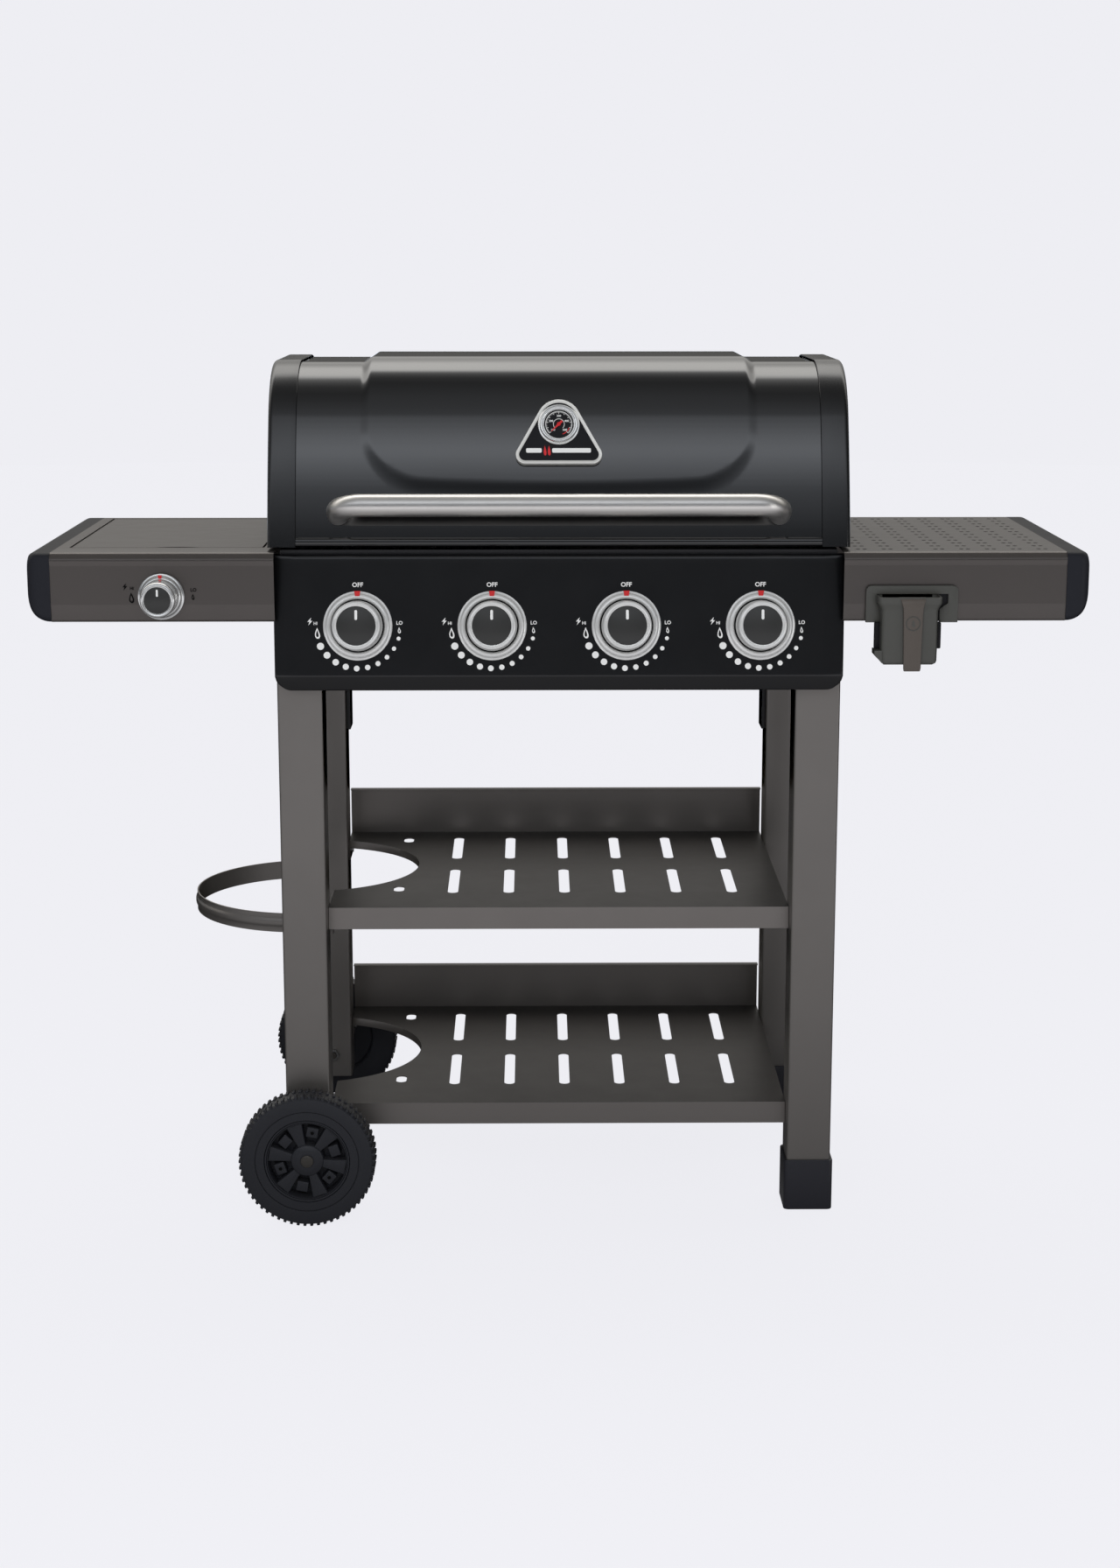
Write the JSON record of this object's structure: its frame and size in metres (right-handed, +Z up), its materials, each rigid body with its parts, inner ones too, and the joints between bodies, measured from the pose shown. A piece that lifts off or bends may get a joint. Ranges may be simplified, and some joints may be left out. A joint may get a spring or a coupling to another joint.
{
  "type": "gas barbecue grill",
  "caption": "Gas barbecue on a wheeled cart: hinged lid with gauge, leaning knob panel, cast grates, side burner under a flush cover, side shelf, slotted racks and a hanging cup.",
  "frame": {"origin": "on the floor, under the middle of the whole grill", "axes": "+Z up, the front with the knobs faces -Y, +X to the viewer's right as they face it"},
  "size_m": [1.326, 0.6, 1.11],
  "materials": {
    "grey_paint": "satin grey-brown powder coat",
    "black_paint": "satin black paint",
    "gloss_enamel": "gloss black enamel",
    "black_plastic": "moulded, fine grain",
    "cup_plastic": "moulded, dark grey",
    "chrome": "bright plated",
    "handle_steel": "polished stainless tube",
    "plain_steel": "plain stainless sheet",
    "brass": "machined",
    "cast_iron": "matt enamelled casting",
    "ceramic": "glazed ceramic",
    "red_paint": "red paint"
  },
  "bodies": {
    "cart": {"leg_front_left": "grey_paint", "leg_front_right": "grey_paint", "leg_rear_left": "grey_paint", "leg_rear_right": "grey_paint", "foot_caps": "black_plastic", "leg_brackets": "black_paint", "upper_shelf": "grey_paint", "lower_shelf": "grey_paint", "frame_bolts": "plain_steel", "cylinder_ring": "grey_paint", "axle_bolts": "plain_steel", "axle_spacers": "black_plastic", "axle_nuts": "plain_steel", "firebox": "black_paint", "control_panel": "black_paint", "knob_bezels": "chrome", "side_bezel": "chrome", "valve_bodies": "brass", "side_valve": "brass", "gas_manifold": "plain_steel", "gas_inlet": "brass", "main_burners": "plain_steel", "flame_tamers": "plain_steel", "igniters": "ceramic", "cooking_grate": "cast_iron", "griddle_plate": "cast_iron", "warming_rack": "chrome", "tray_rails": "black_paint", "left_shelf": "grey_paint", "right_shelf": "grey_paint", "left_end_cap": "black_plastic", "right_end_cap": "black_plastic", "shelf_supports": "black_paint", "burner_bowl": "plain_steel", "side_burner": "cast_iron", "pan_support": "cast_iron", "cover_pins": "plain_steel", "hinge_brackets": "black_paint"},
    "front_wheel": {"wheel_front": "black_plastic"},
    "rear_wheel": {"wheel_rear": "black_plastic"},
    "lid": {"lid_shell": "gloss_enamel", "lid_left_end": "gloss_enamel", "lid_right_end": "gloss_enamel", "lid_handle": "handle_steel", "name_plate": "chrome", "gauge_case": "chrome"},
    "gauge_needle": {"gauge_pointer": "red_paint"},
    "burner_cover": {"side_cover": "grey_paint"},
    "grease_tray": {"drip_tray": "plain_steel"},
    "hanging_cup": {"accessory_cup": "cup_plastic"},
    "stem_1": {"valve_stem_1": "plain_steel"},
    "dial_1": {"knob_1": "chrome"},
    "stem_2": {"valve_stem_2": "plain_steel"},
    "dial_2": {"knob_2": "chrome"},
    "stem_3": {"valve_stem_3": "plain_steel"},
    "dial_3": {"knob_3": "chrome"},
    "stem_4": {"valve_stem_4": "plain_steel"},
    "dial_4": {"knob_4": "chrome"},
    "side_stem_body": {"side_stem": "plain_steel"},
    "side_dial": {"side_knob": "chrome"}
  },
  "joints": [
    {"name": "lid_hinge", "type": "hinge", "parent": "cart", "child": "lid", "pos_m": [0, 0.2, 0.884], "axis": [-1, 0, 0], "range_deg": [0, 85]},
    {"name": "gauge_turn", "type": "hinge", "parent": "lid", "child": "gauge_needle", "pos_m": [0, -0.2011, 1.029], "axis": [0, 0.9322, -0.3618], "range_deg": [0, 270]},
    {"name": "cover_hinge", "type": "hinge", "parent": "cart", "child": "burner_cover", "pos_m": [-0.495, 0.141, 0.87], "axis": [-1, 0, 0], "range_deg": [0, 95]},
    {"name": "front_wheel_spin", "type": "hinge", "parent": "cart", "child": "front_wheel", "pos_m": [-0.327, -0.266, 0.0885], "axis": [0, 1, 0], "continuous": true},
    {"name": "rear_wheel_spin", "type": "hinge", "parent": "cart", "child": "rear_wheel", "pos_m": [-0.327, 0.266, 0.0885], "axis": [0, 1, 0], "continuous": true},
    {"name": "tray_slide", "type": "slide", "parent": "cart", "child": "grease_tray", "axis": [0, 1, 0], "range_m": [0, 0.33]},
    {"name": "cup_lift", "type": "slide", "parent": "cart", "child": "hanging_cup", "axis": [0, 0, 1], "range_m": [0, 0.04]},
    {"name": "knob_1_turn", "type": "hinge", "parent": "cart", "child": "stem_1", "pos_m": [-0.252, -0.25283, 0.7835], "axis": [0, -0.9894, 0.1451], "range_deg": [0, 270]},
    {"name": "knob_1_push", "type": "slide", "parent": "stem_1", "child": "dial_1", "axis": [0, 0.9894, -0.1451], "range_m": [0, 0.004], "stiffness_N_per_m": 800},
    {"name": "knob_2_turn", "type": "hinge", "parent": "cart", "child": "stem_2", "pos_m": [-0.084, -0.25283, 0.7835], "axis": [0, -0.9894, 0.1451], "range_deg": [0, 270]},
    {"name": "knob_2_push", "type": "slide", "parent": "stem_2", "child": "dial_2", "axis": [0, 0.9894, -0.1451], "range_m": [0, 0.004], "stiffness_N_per_m": 800},
    {"name": "knob_3_turn", "type": "hinge", "parent": "cart", "child": "stem_3", "pos_m": [0.084, -0.25283, 0.7835], "axis": [0, -0.9894, 0.1451], "range_deg": [0, 270]},
    {"name": "knob_3_push", "type": "slide", "parent": "stem_3", "child": "dial_3", "axis": [0, 0.9894, -0.1451], "range_m": [0, 0.004], "stiffness_N_per_m": 800},
    {"name": "knob_4_turn", "type": "hinge", "parent": "cart", "child": "stem_4", "pos_m": [0.252, -0.25283, 0.7835], "axis": [0, -0.9894, 0.1451], "range_deg": [0, 270]},
    {"name": "knob_4_push", "type": "slide", "parent": "stem_4", "child": "dial_4", "axis": [0, 0.9894, -0.1451], "range_m": [0, 0.004], "stiffness_N_per_m": 800},
    {"name": "side_knob_turn", "type": "hinge", "parent": "cart", "child": "side_stem_body", "pos_m": [-0.495, -0.262, 0.822], "axis": [0, -1, 0], "range_deg": [0, 270]},
    {"name": "side_knob_push", "type": "slide", "parent": "side_stem_body", "child": "side_dial", "axis": [0, 1, 0], "range_m": [0, 0.004], "stiffness_N_per_m": 800}
  ]
}
